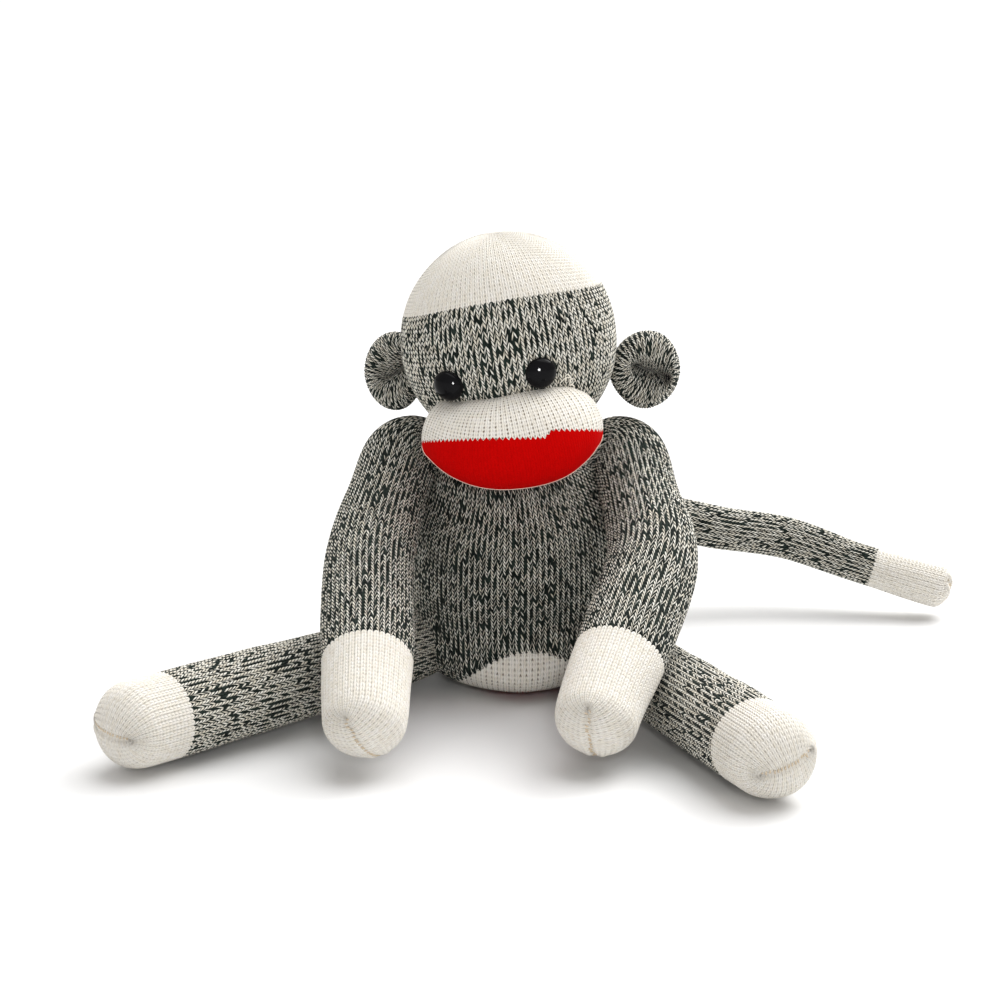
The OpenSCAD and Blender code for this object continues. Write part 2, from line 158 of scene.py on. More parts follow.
# yarns and knitted cloth
print("stage: knit materials")
knitValues = {
    "course": 1.9,  # height of one row
    "lean": 1.15,  # how steep the legs of a stitch are
    "relief": 0.22,  # how far the columns stand up
    "marlGapShade": 0.6,  # painted shade: how dark the gaps between the legs are
    # painted shade in the gaps of the cream knit
    "creamGapShade": 0.18,
    "darkYarn": ((0.002, 0.007, 0.005), (0.020, 0.035, 0.028)),
    "paleYarn": ((0.80, 0.75, 0.63), (1.0, 0.98, 0.90)),
    "dabWidth": 2.0,  # of the pale ply, on the leg where it shows most
    "lineWidth": 0.9,  # of the pale ply, on the other leg
    "plySlant": 1.9,
    "creamYarn": ((0.93, 0.88, 0.78), (0.99, 0.96, 0.90)),
    "redYarn": ((0.53, 0.0006, 0.0004), (0.57, 0.0008, 0.0006)),
}


def step(tree, operation, *values):
    node = tree.nodes.new("ShaderNodeMath")
    node.operation = operation
    for spot, value in enumerate(values):
        if isinstance(value, (int, float)):
            node.inputs[spot].default_value = value
        else:
            tree.links.new(value, node.inputs[spot])
    return node.outputs[0]


def mixColours(tree, share, first, second, blendType="MIX"):
    node = tree.nodes.new("ShaderNodeMix")
    node.data_type = "RGBA"
    node.blend_type = blendType
    for socket, value in ((node.inputs[0], share), (node.inputs[6], first), (node.inputs[7], second)):
        if isinstance(value, (int, float)):
            socket.default_value = value
        elif isinstance(value, tuple):
            socket.default_value = (*value, 1)
        else:
            tree.links.new(value, socket)
    return node.outputs[2]


def randomCell(tree, across, along, seed):
    join = tree.nodes.new("ShaderNodeCombineXYZ")
    for spot, value in enumerate((across, along, seed)):
        if isinstance(value, (int, float)):
            join.inputs[spot].default_value = value
        else:
            tree.links.new(value, join.inputs[spot])
    dice = tree.nodes.new("ShaderNodeTexWhiteNoise")
    dice.noise_dimensions = "3D"
    tree.links.new(join.outputs[0], dice.inputs["Vector"])
    return dice.outputs["Value"]


def softNoise(tree, scale, detail=2.0):
    spot = tree.nodes.new("ShaderNodeTexCoord")
    cloud = tree.nodes.new("ShaderNodeTexNoise")
    cloud.inputs["Scale"].default_value = scale
    cloud.inputs["Detail"].default_value = detail
    tree.links.new(spot.outputs["Object"], cloud.inputs["Vector"])
    return cloud.outputs["Fac"]


def addBump(tree, height, strength, distance):
    bump = tree.nodes.new("ShaderNodeBump")
    bump.inputs["Strength"].default_value = strength
    bump.inputs["Distance"].default_value = distance
    tree.links.new(height, bump.inputs["Height"])
    tree.links.new(bump.outputs[0], tree.nodes["Principled BSDF"].inputs["Normal"])


def stitchPattern(tree):
    # u counts columns, v counts rows; every V is two legs that lean together
    uvMap = tree.nodes.new("ShaderNodeUVMap")
    uvMap.uv_map = "stitches"
    parts = tree.nodes.new("ShaderNodeSeparateXYZ")
    tree.links.new(uvMap.outputs[0], parts.inputs[0])
    u, v = parts.outputs[0], parts.outputs[1]
    wale = step(tree, "FLOOR", u)
    across = step(tree, "SUBTRACT", step(tree, "SUBTRACT", u, wale), 0.5)
    away = step(tree, "ABSOLUTE", across)
    side = step(tree, "GREATER_THAN", across, 0.0)
    leg = step(tree, "ADD", step(tree, "MULTIPLY", wale, 2.0), side)
    slanted = step(tree, "SUBTRACT", v, step(tree, "MULTIPLY", away, knitValues["lean"]))
    course = step(tree, "FLOOR", slanted)
    along = step(tree, "SUBTRACT", slanted, course)
    tilted = step(tree, "MULTIPLY_ADD", step(tree, "SUBTRACT", along, 0.5), -0.15, away)
    legX = step(tree, "MULTIPLY", step(tree, "SUBTRACT", tilted, 0.25), 4.0)
    roundness = step(tree, "SUBTRACT", 1.0, step(tree, "MULTIPLY", legX, legX))
    middle = step(tree, "SUBTRACT", step(tree, "MULTIPLY", along, 2.0), 1.0)
    grain = step(tree, "SUBTRACT", 1.0, step(tree, "POWER", step(tree, "ABSOLUTE", middle), 3.0))
    height = step(tree, "MULTIPLY", roundness, step(tree, "MULTIPLY_ADD", grain, 0.6, 0.4))
    return {
        "u": u, "side": side, "away": away, "leg": leg, "slanted": slanted,
        "course": course, "along": along, "height": height,
    }


def marlColour(tree, pattern, paleShareAndShade):
    # a dark and a pale ply twisted together: the pale one shows as fat dabs down
    # one leg of a stitch and as thin lines down the other
    reach = step(tree, "MULTIPLY_ADD", pattern["side"], 0.6, 1.0)
    start = step(tree, "MULTIPLY", randomCell(tree, pattern["leg"], 3.0, 1.0), pattern["side"])
    turns = step(tree, "ADD", step(tree, "DIVIDE", pattern["slanted"], reach), start)
    strand = step(tree, "FLOOR", turns)
    spot = step(tree, "SUBTRACT", step(tree, "SUBTRACT", turns, strand), 0.5)
    nudge = step(tree, "MULTIPLY_ADD", randomCell(tree, pattern["leg"], strand, 9.0), 0.5, -0.25)
    centre = step(tree, "MULTIPLY_ADD", spot, knitValues["plySlant"], nudge)
    legSpot = step(tree, "MULTIPLY", step(tree, "SUBTRACT", pattern["away"], 0.25), 4.0)
    off = step(tree, "ABSOLUTE", step(tree, "SUBTRACT", legSpot, centre))
    ends = step(tree, "POWER", step(tree, "ABSOLUTE", step(tree, "MULTIPLY", spot, 2.0)), 3.0)
    taper = step(tree, "MULTIPLY_ADD", ends, -0.95, 1.0)
    # the pale share is set per piece and is partly painted light: lower on torso and arms to paint their
    # shade, higher on head and legs to paint the light on them
    drift = step(tree, "MULTIPLY_ADD", softNoise(tree, 110.0), 0.42, paleShareAndShade - 0.21)
    uneven = step(tree, "MULTIPLY_ADD", randomCell(tree, pattern["leg"], strand, 5.0), 0.8, 0.6)
    lineShare = knitValues["lineWidth"] - knitValues["dabWidth"]
    fullWidth = step(tree, "MULTIPLY_ADD", pattern["side"], lineShare, knitValues["dabWidth"])
    width = step(tree, "MULTIPLY", step(tree, "MULTIPLY", drift, uneven), fullWidth)
    width = step(tree, "MULTIPLY", width, taper)
    chance = randomCell(tree, pattern["leg"], strand, 7.0)
    missing = step(tree, "MULTIPLY_ADD", pattern["side"], 0.28, 0.08)
    shown = step(tree, "GREATER_THAN", chance, missing)
    pale = step(tree, "LESS_THAN", off, step(tree, "MULTIPLY", width, shown))
    shade = randomCell(tree, pattern["leg"], strand, 11.0)
    dark = mixColours(tree, shade, *knitValues["darkYarn"])
    light = mixColours(tree, shade, *knitValues["paleYarn"])
    return mixColours(tree, pale, dark, light)


def plainColour(tree, pattern, tones, holeShadeTone, holeShadeShare):
    # one smooth yarn; a small hole between the columns in every row is painted dark as shade
    shade = randomCell(tree, pattern["leg"], pattern["course"], 5.0)
    yarn = mixColours(tree, shade, *tones)
    edge = step(tree, "DIVIDE", step(tree, "SUBTRACT", 0.5, pattern["away"]), 0.25)
    rowSpot = step(tree, "DIVIDE", step(tree, "SUBTRACT", pattern["along"], 0.5), 0.36)
    far = step(tree, "ADD", step(tree, "MULTIPLY", edge, edge), step(tree, "MULTIPLY", rowSpot, rowSpot))
    joint = step(tree, "FLOOR", step(tree, "ADD", pattern["u"], 0.5))
    openness = step(tree, "MULTIPLY_ADD", randomCell(tree, joint, pattern["course"], 13.0), 0.9, 0.4)
    # painted shade in the holes: a dark tone mixed into the yarn
    holeShade = step(tree, "MULTIPLY", step(tree, "SUBTRACT", 1.0, step(tree, "MINIMUM", far, 1.0)), holeShadeShare)
    holeShade = step(tree, "MINIMUM", step(tree, "MULTIPLY", holeShade, openness), 1.0)
    return mixColours(tree, holeShade, yarn, holeShadeTone)


def finishKnit(material, colour, pattern, gapShadeDepth, sheen=0.08, shine=0.15, bumpStrength=0.7):
    # painted shade: the gaps between the legs are darker; a fine fibre roughens everything
    tree = material.node_tree
    shader = tree.nodes["Principled BSDF"]
    fibre = softNoise(tree, 2600.0, 3.0)
    # painted shade, deepest where the stitch legs are lowest; the fibre noise below is the yarn's own tone
    depth = step(tree, "MULTIPLY", step(tree, "SUBTRACT", 1.0, pattern["height"]), gapShadeDepth)
    gapShadeAndFibre = step(tree, "SUBTRACT", 1.0, depth)
    gapShadeAndFibre = step(tree, "MULTIPLY", gapShadeAndFibre, step(tree, "MULTIPLY_ADD", fibre, 0.3, 0.85))
    shadeAndFibreGrey = tree.nodes.new("ShaderNodeCombineColor")
    for spot in range(3):
        tree.links.new(gapShadeAndFibre, shadeAndFibreGrey.inputs[spot])
    shaded = mixColours(tree, 1.0, colour, shadeAndFibreGrey.outputs[0], "MULTIPLY")
    tree.links.new(shaded, shader.inputs["Base Color"])
    shader.inputs["Roughness"].default_value = 0.85
    shader.inputs["Specular IOR Level"].default_value = shine
    shader.inputs["Sheen Weight"].default_value = sheen
    shader.inputs["Sheen Roughness"].default_value = 0.5
    addBump(tree, step(tree, "MULTIPLY_ADD", fibre, 0.35, pattern["height"]), bumpStrength, 0.0006)
    return material


def newMaterial(name):
    material = bpy.data.materials.new(name)
    material.use_nodes = True
    return material


def creamColour(tree, pattern, holeShadeShare=0.5):
    # the dark tone is painted shade in the holes between the stitches
    return plainColour(tree, pattern, knitValues["creamYarn"], (0.18, 0.14, 0.09), holeShadeShare)


def redColour(tree, pattern):
    # the dark red tone is painted shade in the holes between the stitches
    return plainColour(tree, pattern, knitValues["redYarn"], (0.34, 0.0006, 0.0006), 0.15)


def makeMarl(name, creamFrom=None, paleShareAndShade=0.48, holeShadeShare=0.35):
    # marl up to a row, and cream past it: the two colours meet in the teeth of the stitches
    material = newMaterial(name)
    tree = material.node_tree
    pattern = stitchPattern(tree)
    colour = marlColour(tree, pattern, paleShareAndShade)
    # painted shade in the gaps, lighter on the cream part
    gapShadeDepth = knitValues["marlGapShade"]
    if creamFrom is not None:
        cream = step(tree, "GREATER_THAN", pattern["course"], creamFrom - 0.5)
        colour = mixColours(tree, cream, colour, creamColour(tree, pattern, holeShadeShare))
        gapShadeDepth = step(tree, "MULTIPLY_ADD", cream, knitValues["creamGapShade"] - gapShadeDepth, gapShadeDepth)
    return finishKnit(material, colour, pattern, gapShadeDepth)


# knitted tubes, from rings of points
def smoothPath(knots, spacing):
    # an even run of (x, y, z, radius) on one smooth curve through the knots
    knots = np.array(knots, float)
    padded = np.vstack([2 * knots[0] - knots[1], knots, 2 * knots[-1] - knots[-2]])
    fine = []
    for spot in range(1, len(padded) - 2):
        before, start, end, after = padded[spot - 1:spot + 3]
        for share in np.linspace(0, 1, 24, endpoint=False):
            fine.append(0.5 * (
                2 * start + (end - before) * share
                + (2 * before - 5 * start + 4 * end - after) * share ** 2
                + (3 * start - before - 3 * end + after) * share ** 3
            ))
    fine.append(knots[-1])
    fine = np.array(fine)
    run = np.concatenate([[0], np.cumsum(np.linalg.norm(np.diff(fine[:, :3], axis=0), axis=1))])
    count = max(2, round(run[-1] / spacing) + 1)
    even = np.linspace(0, run[-1], count)
    return np.stack([np.interp(even, run, fine[:, axis]) for axis in range(4)], axis=1)


def frameAlong(path, sideways):
    # sideways and depth directions that turn with the path, set at its far end
    tangents = np.gradient(path[:, :3], axis=0)
    tangents /= np.linalg.norm(tangents, axis=1)[:, None]
    wide = np.array(sideways, float)
    sides, depths = [], []
    for tangent in tangents[::-1]:
        wide = wide - tangent * wide.dot(tangent)
        wide /= np.linalg.norm(wide)
        sides.append(wide.copy())
        depths.append(np.cross(tangent, wide))
    return tangents, np.array(sides[::-1]), np.array(depths[::-1])


def capRings(centre, tangent, side, depth, radius, length, slit, count, wales, boxy=2.0):
    # closes a tube over a dome, down to a straight toe seam
    turn = 2 * np.pi * np.arange(wales) / wales
    rings = []
    for share in np.linspace(0, 1, count + 1)[1:]:
        small = math.cos(share * math.pi / 2) if share < 1 else 0.0
        lateral = (slit + (1 - slit) * small) * np.cos(turn)
        thick = small * np.sin(turn)
        rise = np.clip(1 - (lateral ** 2 + thick ** 2) ** (boxy / 2), 0, 1) ** (1 / boxy)
        rings.append(
            centre + np.outer(lateral * radius, side) + np.outer(thick * radius, depth)
            + np.outer(rise * length, tangent)
        )
    return rings


def cleanMesh(mesh, mergeWithin=0, fillEnds=False):
    # merges doubles, fills open ends if asked, and turns every face outward
    work = bmesh.new()
    work.from_mesh(mesh)
    if mergeWithin:
        bmesh.ops.remove_doubles(work, verts=work.verts, dist=mergeWithin)
    if fillEnds:
        bmesh.ops.holes_fill(work, edges=[edge for edge in work.edges if edge.is_boundary], sides=0)
    bmesh.ops.recalc_face_normals(work, faces=work.faces)
    work.to_mesh(mesh)
    work.free()


def ringsToSkin(name, rings, wales):
    rings = np.array(rings)
    count = len(rings)
    run = np.linalg.norm(np.diff(rings, axis=0), axis=2).mean(axis=1)
    rows = np.concatenate([[0], np.cumsum(run)]) / knitValues["course"]
    mesh = bpy.data.meshes.new(name)
    points = (rings.reshape(-1, 3) * mm).tolist()
    faces = []
    corners = []
    for ring in range(count - 1):
        for spot in range(wales):
            after = (spot + 1) % wales
            faces.append((ring * wales + spot, ring * wales + after,
                          (ring + 1) * wales + after, (ring + 1) * wales + spot))
            corners += [(spot, rows[ring]), (spot + 1, rows[ring]),
                        (spot + 1, rows[ring + 1]), (spot, rows[ring + 1])]
    mesh.from_pydata(points, [], faces)
    layer = mesh.uv_layers.new(name="stitches")
    layer.data.foreach_set("uv", np.array(corners, np.float32).ravel())
    piece = bpy.data.objects.new(name, mesh)
    scene.collection.objects.link(piece)
    cleanMesh(mesh, mergeWithin=2e-6)
    mesh.polygons.foreach_set("use_smooth", [True] * len(mesh.polygons))
    return piece, rows


def sewTube(name, values):
    # one sock tube: a domed start, a run along the path, a toe seam at the end
    wales = values["wales"]
    path = smoothPath(values["knots"], values.get("ringStep", 2.6))
    tangents, sides, depths = frameAlong(path, values["seamAlong"])
    turn = 2 * np.pi * np.arange(wales) / wales
    across, deep = np.cos(turn), np.sin(turn)
    if "boxTop" in values:
        # squarer on the side that seamAlong points to
        power = np.where(across > 0, values["boxTop"], 2.0)
        size = (np.abs(across) ** power + np.abs(deep) ** power) ** (-1 / power)
        across, deep = across * size, deep * size
    run = []
    for spot in range(len(path)):
        centre, radius = path[spot, :3], path[spot, 3]
        run.append(centre + np.outer(across * radius, sides[spot]) + np.outer(deep * radius, depths[spot]))
    capRows = values.get("capRows", 8)
    first = capRings(path[0, :3], -tangents[0], sides[0], depths[0], path[0, 3],
                     values["startLength"], values.get("startSlit", 0.1), capRows, wales,
                     values.get("boxy", 2.0))
    last = capRings(path[-1, :3], tangents[-1], sides[-1], depths[-1], path[-1, 3],
                    values["endLength"], values["endSlit"], capRows, wales)
    piece, rows = ringsToSkin(name, first[::-1] + run + last, wales)
    return piece, rows, seamLine([run[-1]] + last, wales, 1.0)


def readPoints(piece):
    points = np.empty(len(piece.data.vertices) * 3)
    piece.data.vertices.foreach_get("co", points)
    return points.reshape(-1, 3)


def faceMiddles(piece):
    return np.array([polygon.center for polygon in piece.data.polygons]) / mm


def readStitches(mesh):
    uv = np.empty(len(mesh.loops) * 2, np.float32)
    mesh.uv_layers["stitches"].data.foreach_get("uv", uv)
    return uv.reshape(-1, 2)


def writePoints(piece, points):
    piece.data.vertices.foreach_set("co", np.asarray(points, np.float32).ravel())
    piece.data.update()


def stuff(piece, pressure=4.0, cap=2.0, frames=16, stiffness=12.0):
    # cloth blown up from inside; no point may move further than the cap
    rest = readPoints(piece)
    cloth = piece.modifiers.new("stuffing", "CLOTH")
    cloth.settings.quality = 5
    cloth.settings.mass = 0.3
    cloth.settings.tension_stiffness = stiffness
    cloth.settings.compression_stiffness = stiffness
    cloth.settings.bending_stiffness = 0.6
    cloth.settings.use_pressure = True
    cloth.settings.uniform_pressure_force = pressure
    cloth.settings.effector_weights.gravity = 0
    cloth.collision_settings.use_self_collision = False
    cloth.point_cache.frame_start = 1
    cloth.point_cache.frame_end = frames
    for number in range(1, frames + 1):
        scene.frame_set(number)
    selectOnly(piece)
    bpy.ops.object.modifier_apply(modifier="stuffing")
    scene.frame_set(1)
    moved = readPoints(piece) - rest
    far = np.linalg.norm(moved, axis=1)
    moved *= (np.minimum(far, cap * mm) / np.maximum(far, 1e-9))[:, None]
    writePoints(piece, rest + moved)


def lumps(piece, amount, size, seed):
    # the filling is never even
    points = readPoints(piece)
    normals = np.array([vertex.normal for vertex in piece.data.vertices])
    shift = Vector((seed * 3.1, seed * 1.7, seed * 0.9))
    heights = np.array([noise.noise(Vector(point / mm) / size + shift) for point in points])
    writePoints(piece, points + normals * heights[:, None] * amount * mm)


def sitOnFloor(piece, soft=4.0, lift=0.3):
    # flattens what would sink into the table, with a rounded edge
    points = readPoints(piece) / mm
    z = points[:, 2] - lift
    points[:, 2] = lift + 0.5 * (z + np.sqrt(z * z + soft))
    writePoints(piece, points * mm)


def smooth(piece, levels=2):
    selectOnly(piece)
    finer = piece.modifiers.new("finer", "SUBSURF")
    finer.levels = levels
    finer.render_levels = levels
    finer.uv_smooth = "NONE"
    bpy.ops.object.modifier_apply(modifier="finer")


def raiseColumns(piece, depth=None):
    # each column of stitches stands up, with a groove beside it
    depth = knitValues["relief"] if depth is None else depth
    mesh = piece.data
    corner = np.empty(len(mesh.loops), np.int32)
    mesh.loops.foreach_get("vertex_index", corner)
    across = readStitches(mesh)[:, 0] % 1.0 - 0.5
    profile = -np.cos(4 * np.pi * across) + 0.4 * np.cos(2 * np.pi * across)
    total = np.zeros(len(mesh.vertices))
    uses = np.zeros(len(mesh.vertices))
    np.add.at(total, corner, profile)
    np.add.at(uses, corner, 1)
    normals = np.array([vertex.normal for vertex in mesh.vertices])
    raised = readPoints(piece) + normals * (total / np.maximum(uses, 1))[:, None] * depth * mm
    writePoints(piece, raised)


def faceRows(piece):
    # the mean row of each face
    mesh = piece.data
    starts = np.array([polygon.loop_start for polygon in mesh.polygons])
    sizes = np.array([polygon.loop_total for polygon in mesh.polygons])
    return np.add.reduceat(readStitches(mesh)[:, 1], starts) / sizes


def cutOff(piece, mask, name):
    # the faces in the mask become a piece of their own; both pieces are closed where they part
    other = piece.copy()
    other.data = piece.data.copy()
    other.name = name
    other.data.name = name
    scene.collection.objects.link(other)
    for target, drop, tuck in ((piece, mask, 0.0), (other, ~mask, 1.0)):
        work = bmesh.new()
        work.from_mesh(target.data)
        work.faces.ensure_lookup_table()
        bmesh.ops.delete(work, geom=[work.faces[spot] for spot in np.nonzero(drop)[0]], context="FACES")
        rim = [edge for edge in work.edges if edge.is_boundary]
        if rim and tuck:
            # a short turning goes into the neighbour before it closes
            grown = bmesh.ops.extrude_edge_only(work, edges=rim)["geom"]
            fresh = [item for item in grown if isinstance(item, bmesh.types.BMVert)]
            middle = sum((vertex.co for vertex in fresh), Vector()) / len(fresh)
            bulk = sum((vertex.co for vertex in work.verts), Vector()) / len(work.verts)
            inward = (middle - bulk).normalized()
            for vertex in fresh:
                vertex.co = middle + (vertex.co - middle) * 0.93 + inward * 0.0025
            rim = [edge for edge in work.edges if edge.is_boundary]
        if rim:
            bmesh.ops.holes_fill(work, edges=rim, sides=0)
            caps = [face for face in work.faces if len(face.verts) > 4]
            bmesh.ops.triangulate(work, faces=caps)
        bmesh.ops.recalc_face_normals(work, faces=work.faces)
        work.to_mesh(target.data)
        work.free()
    return other


def dress(piece, material):
    piece.data.materials.clear()
    piece.data.materials.append(material)
    piece.data.polygons.foreach_set("use_smooth", [True] * len(piece.data.polygons))


def towards(start, end, share):
    return Vector(start) + (Vector(end) - Vector(start)) * share


def knot(point, radius):
    return (*point, radius)


def distanceToLine(points, line):
    # nearest distance from each point to a polyline, and how far along it lies
    best = np.full(len(points), 1e9)
    for start, end in zip(line[:-1], line[1:]):
        way = end - start
        share = np.clip((points - start) @ way / max(way @ way, 1e-12), 0, 1)
        best = np.minimum(best, np.linalg.norm(points - start - share[:, None] * way, axis=1))
    return best


def pinchSeam(piece, line, depth=1.3, reach=1.4):
    # the seam draws the knit in, with a soft welt on each side
    points = readPoints(piece) / mm
    normals = np.array([vertex.normal for vertex in piece.data.vertices])
    away = distanceToLine(points, line)
    groove = np.exp(-(away / reach) ** 2)
    welt = np.exp(-((away - 2.2 * reach) / reach) ** 2)
    pull = depth * (0.35 * welt - groove)
    writePoints(piece, (points + normals * pull[:, None]) * mm)


threadValues = {
    "thick": 0.3,
    "pitch": 1.7,
    "reach": 0.75,
    "tone": ((0.58, 0.46, 0.31), (0.80, 0.69, 0.53)),
}


def makeThread(name, tone):
    material = newMaterial(name)
    tree = material.node_tree
    shader = tree.nodes["Principled BSDF"]
    twist = softNoise(tree, 1900.0, 3.0)
    tree.links.new(mixColours(tree, twist, *tone), shader.inputs["Base Color"])
    shader.inputs["Roughness"].default_value = 0.7
    shader.inputs["Sheen Weight"].default_value = 0.15
    addBump(tree, twist, 0.5, 0.0003)
    return material


threadFinish = makeThread("sewing_thread", threadValues["tone"])


def surfaceAt(surface, point):
    _, place, normal, _ = surface.closest_point_on_mesh(Vector(point) * mm)
    return place / mm, normal


def tubeThrough(name, runs, thick, sides=6):
    # one mesh of closed round tubes, each along its own run of points
    mesh = bpy.data.meshes.new(name)
    points, faces = [], []
    for run in runs:
        first = len(points)
        count = len(run)
        for spot, place in enumerate(run):
            ahead = run[min(spot + 1, count - 1)] - run[max(spot - 1, 0)]
            way = ahead.normalized()
            side = way.cross(Vector((0.31, 0.53, 0.79))).normalized()
            up = way.cross(side)
            size = thick * (0.45 if spot in (0, count - 1) else 1.0)
            for corner in range(sides):
                angle = 2 * math.pi * corner / sides
                points.append((place + (side * math.cos(angle) + up * math.sin(angle)) * size) * mm)
        for spot in range(count - 1):
            for corner in range(sides):
                after = (corner + 1) % sides
                low = first + spot * sides
                faces.append((low + corner, low + after, low + sides + after, low + sides + corner))
        faces.append([first + corner for corner in range(sides)][::-1])
        faces.append([first + (count - 1) * sides + corner for corner in range(sides)])
    mesh.from_pydata([tuple(point) for point in points], [], faces)
    piece = bpy.data.objects.new(name, mesh)
    scene.collection.objects.link(piece)
    cleanMesh(mesh)
    return piece


def sewStitches(name, line, surface, seed):
    # short whip stitches over a seam, each a small bridge of thread
    chance = random.Random(seed)
    line = np.array(line)
    run = np.concatenate([[0], np.cumsum(np.linalg.norm(np.diff(line, axis=0), axis=1))])
    runs = []
    for where in np.arange(threadValues["pitch"] * 0.5, run[-1], threadValues["pitch"]):
        place = Vector([np.interp(where, run, line[:, axis]) for axis in range(3)])
        near = Vector([np.interp(min(where + 0.6, run[-1]), run, line[:, axis]) for axis in range(3)])
        back = Vector([np.interp(max(where - 0.6, 0), run, line[:, axis]) for axis in range(3)])
        way = (near - back).normalized()
        base, normal = surfaceAt(surface, place)
        cross = normal.cross(way).normalized() + way * chance.uniform(0.15, 0.5)
        points = []
        for share in (-1.0, -0.55, 0.0, 0.55, 1.0):
            spot, outward = surfaceAt(surface, base + cross * share * threadValues["reach"])
            points.append(spot + outward * (0.25 if abs(share) < 0.9 else -0.35))
        runs.append(points)
    return tubeThrough(name, runs, threadValues["thick"])


def finishTube(piece, values, seed, seam=None):
    lumps(piece, values.get("lump", 0.7), 26.0, seed)
    sitOnFloor(piece)
    stuff(piece, cap=values.get("cap", 1.2))
    sitOnFloor(piece)
    smooth(piece)
    if seam is not None:
        pinchSeam(piece, seam)
    raiseColumns(piece)


def seamLine(rings, wales, grow):
    # the straight toe seam at the closed end, carried out with the filling
    last = rings[-1][:wales // 2 + 1]
    middle = rings[0].mean(axis=0)
    out = last - middle
    return last + out / np.linalg.norm(out, axis=1)[:, None] * grow


# body, with the heel of the sock as its seat
print("stage: body")
bodyValues = {
    "knots": [(0, -5, 25, 47), (0, -5, 44, 48.8), (0, -6.5, 64, 48.3), (0, -9, 84, 45.5),
              (-1, -12, 100, 38)],
    "wales": 112,
    "seamAlong": (1, 0, 0),
    "startLength": 26.5,
    "startSlit": 0.6,
    "boxy": 3.0,
    "endLength": 16,
    "endSlit": 0.2,
    "ringStep": 3.4,
    "capRows": 12,
    "heelMiddle": 6.0,
    "heelHigh": 24.0,
    "heelHalf": 36,
    "redHigh": 3.6,
    "redHalf": 30,
    "pocket": 9.0,  # how far the heel stands out in front
    "pocketHalf": 30,
    "pocketAt": 8,
    "pocketTall": 12,
    "fill": 0.9,
    # the marl's own mix, made darker with fewer pale strands to paint the shade under the head
    "paleShareAndShade": 0.31,
}


def heelField(points, values):
    # below zero inside the cream heel; the second field is the red toe of the heel
    x, y, z = points[:, 0] - values["heelMiddle"], points[:, 1], points[:, 2]
    rise = np.where(y > 0, 1 + 0.9 * np.clip(y / 40, 0, 1), 1.0)
    cream = z - values["heelHigh"] * rise * (1 - (x / values["heelHalf"]) ** 2)
    red = z - values["redHigh"] * (1 - (x / values["redHalf"]) ** 2) + 40 * (y > 2)
    return cream, red


def writeField(piece, name, field):
    layer = piece.data.attributes.new(name, "FLOAT", "POINT")
    layer.data.foreach_set("value", field.astype(np.float32))


def makeBodyKnit(values):
    material = newMaterial("knit_body")
    tree = material.node_tree
    pattern = stitchPattern(tree)
    teeth = step(tree, "MULTIPLY", step(tree, "SUBTRACT", pattern["away"], 0.25), 4.0)
    shares = []
    for name in ("heelCream", "heelRed"):
        field = tree.nodes.new("ShaderNodeAttribute")
        field.attribute_name = name
        shares.append(step(tree, "LESS_THAN", step(tree, "ADD", field.outputs["Fac"], teeth), 0.0))
    colour = mixColours(tree, shares[0], marlColour(tree, pattern, values["paleShareAndShade"]),
                        creamColour(tree, pattern, 0.8))
    colour = mixColours(tree, shares[1], colour, redColour(tree, pattern))
    # painted shade in the gaps, lighter on the cream heel
    gapShadeDepth = step(tree, "MULTIPLY_ADD", shares[0], knitValues["creamGapShade"] - knitValues["marlGapShade"],
                    knitValues["marlGapShade"])
    return finishKnit(material, colour, pattern, gapShadeDepth)


def swellHeel(piece, values):
    # the heel of a sock is a pocket, and the filling pushes it out
    points = readPoints(piece) / mm
    beside = (points[:, 0] - values["heelMiddle"]) / values["pocketHalf"]
    above = (points[:, 2] - values["pocketAt"]) / values["pocketTall"]
    swell = values["pocket"] * np.exp(-beside ** 2 - above ** 2)
    points[:, 1] -= swell * np.clip(-points[:, 1] / 30, 0, 1)
    writePoints(piece, points * mm)
    return points


def sewBody(values):
    body, _, _ = sewTube("body_marl", values)
    finishTube(body, values, 3)
    creamField, redField = heelField(swellHeel(body, values), values)
    writeField(body, "heelCream", creamField)
    writeField(body, "heelRed", redField)
    seat = cutOff(body, heelField(faceMiddles(body), values)[0] < 0, "seat_patch")
    middles = faceMiddles(seat)
    seatToe = cutOff(seat, (heelField(middles, values)[1] < 0) & (middles[:, 2] < 6), "seat_toe")
    knit = makeBodyKnit(values)
    for piece, slotName, nodes in (
        (body, "marl_knit", ["torso_knit", "torso_stuffing", "shoulder_gather_left",
                             "shoulder_gather_right", "tail_stitching"]),
        (seat, "cream_knit", ["seat_cream", "crotch_seam"]),
        (seatToe, "red_knit", ["seat_red"]),
    ):
        dress(piece, knit)
        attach(piece, "torso")
        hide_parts(*nodes)


sewBody(bodyValues)

# neck, hidden under the head
neckValues = {
    "knots": [(0, -16, 100, 21), (0, -17, 122, 21)],
    "wales": 48,
    "seamAlong": (1, 0, 0),
    "startLength": 6,
    "endLength": 6,
    "endSlit": 0.1,
    "fill": 0.8,
}
plainMarl = makeMarl("knit_marl")


def sewNeck(values):
    neck, _, _ = sewTube("neck_marl", values)
    smooth(neck, 1)
    dress(neck, plainMarl)
    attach(neck, "neck_collar")
    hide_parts("neck_knit", "neck_stuffing")


sewNeck(neckValues)

# head, with the cream crown cut from the same skin
print("stage: head")
headValues = {
    "radius": 48.0,
    "middleZ": 159.0,
    "axis": (-0.168, 0.03, 0.985),  # from the neck to the middle of the crown
    "wales": 118,
    "capRows": 26,
    "neckSlit": 0.06,
    "crownSlit": 0.36,
    "crownFrom": 21.0,
    "lump": 0.6,
    "cap": 1.2,
    # the marl's own mix, made paler to paint the light on the head
    "paleShareAndShade": 0.56,
    "holeShadeShare": 0.42,
    "fill": 0.95,
}


